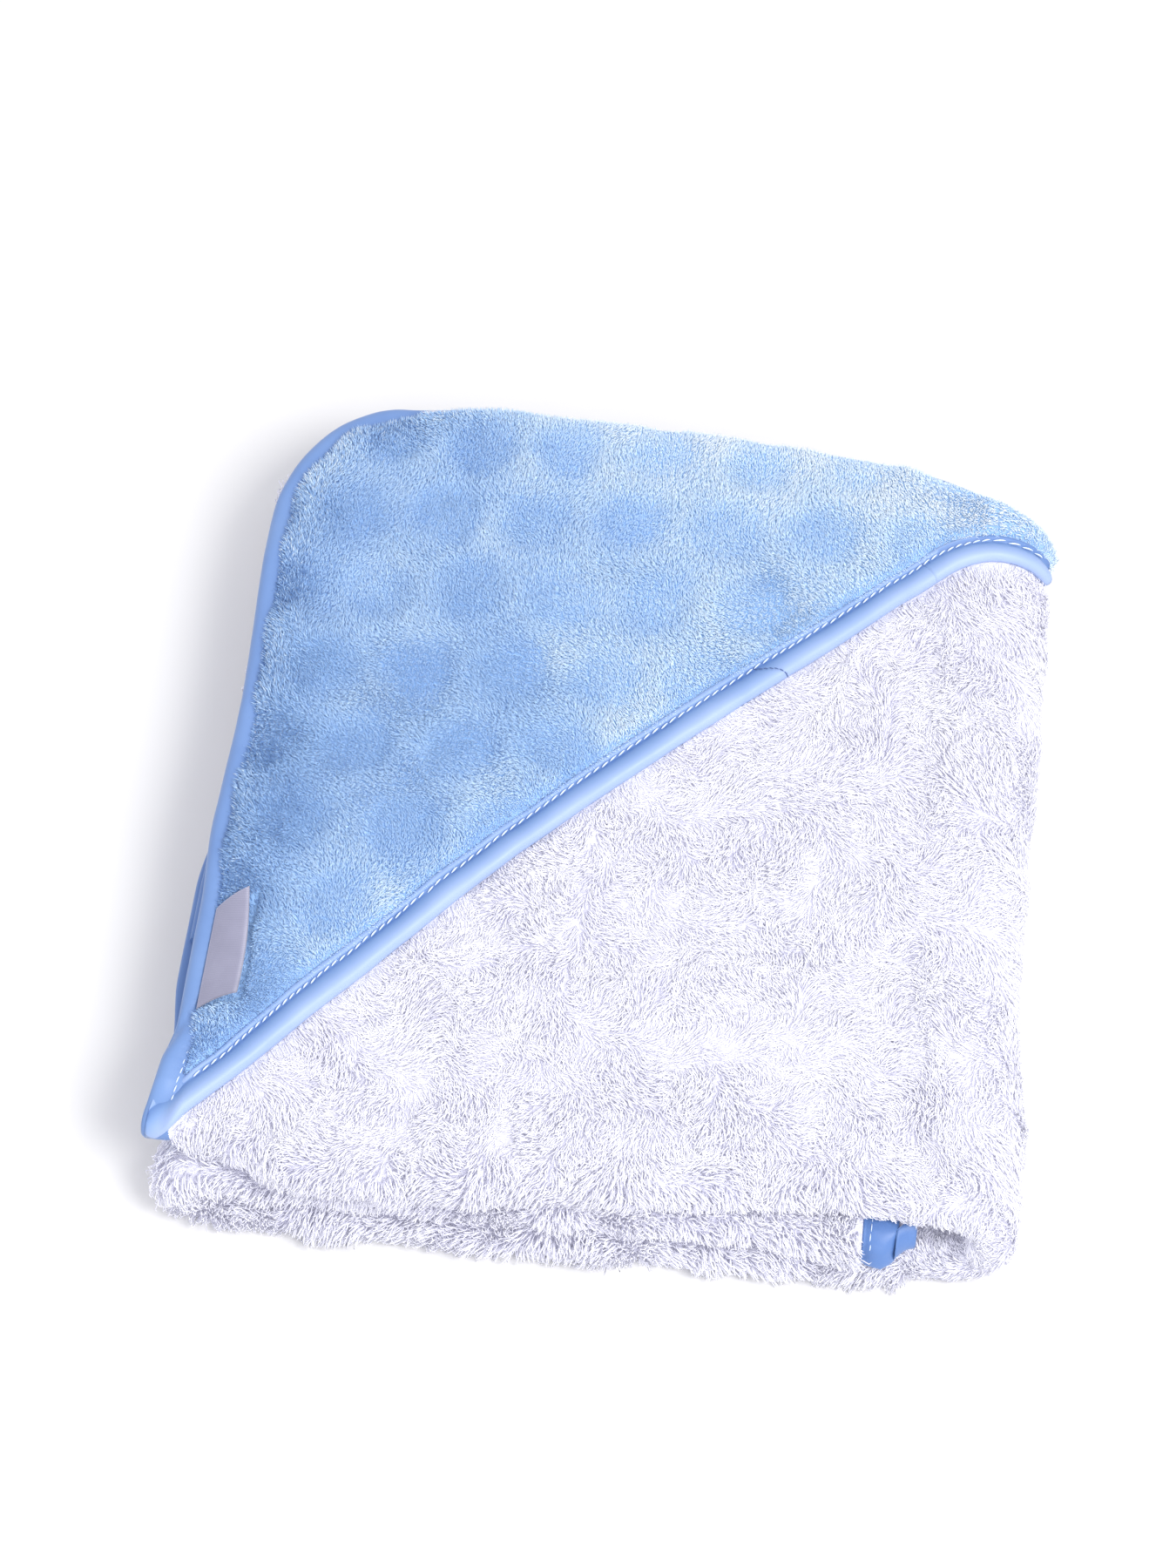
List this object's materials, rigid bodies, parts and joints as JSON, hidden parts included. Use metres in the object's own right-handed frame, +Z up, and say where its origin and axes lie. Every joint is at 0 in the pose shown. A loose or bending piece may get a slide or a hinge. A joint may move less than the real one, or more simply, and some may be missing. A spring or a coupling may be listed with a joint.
{
  "type": "hooded baby towel",
  "caption": "Terry bath towel for a baby, folded into a flat square stack, with a plush corner hood, satin edge binding and a blank side label.",
  "frame": {"origin": "middle of the folded stack's footprint, on the surface it rests on", "axes": "+X towards the thick right fold, +Y towards the back edge with the hood's rounded corner at -X +Y, +Z up"},
  "size_m": [0.27, 0.2928, 0.0471],
  "materials": {
    "terry": "long looped pile",
    "plush": "short soft pile with pressed dots",
    "satin_binding": "satin",
    "thread": "twisted thread",
    "seam_thread": "twisted thread",
    "label": "woven satin"
  },
  "bodies": {
    "bottom_section": {"terry_bottom_section": "terry", "terry_tucked_section": "terry", "terry_left_fold": "terry", "terry_right_fold": "terry", "edge_binding_tucked_end": "satin_binding", "edge_binding_inside_lower": "satin_binding", "edge_binding_back_lower": "satin_binding", "edge_binding_right_fold": "satin_binding", "edge_topstitch_tucked_end": "thread"},
    "top_section": {"terry_top_section": "terry", "edge_binding_hood_legs": "satin_binding", "edge_binding_left_lower_sheets": "satin_binding", "edge_binding_inside_top": "satin_binding", "edge_topstitch_hood_legs": "thread", "hood_panel_sewn_margin": "plush", "hood_face_binding_sewn_ends": "satin_binding"},
    "hood_mouth": {"hood_panel_mouth": "plush", "hood_face_binding": "satin_binding", "hood_face_topstitch": "thread", "binding_join_seam": "seam_thread"},
    "label": {"side_label": "label"}
  },
  "joints": [
    {"name": "top_section_unfold", "type": "hinge", "parent": "bottom_section", "child": "top_section", "pos_m": [0.1115, 0, 0.0236], "axis": [0, 1, 0], "range_deg": [0, 180]},
    {"name": "hood_mouth_open", "type": "hinge", "parent": "top_section", "child": "hood_mouth", "pos_m": [-0.1064, 0.11955, 0.0462], "axis": [-0.7071, -0.7071, 0], "range_deg": [0, 15]},
    {"name": "label_flip", "type": "hinge", "parent": "top_section", "child": "label", "pos_m": [-0.1215, -0.069, 0.0468], "axis": [0, -1, 0], "range_deg": [0, 150]}
  ]
}
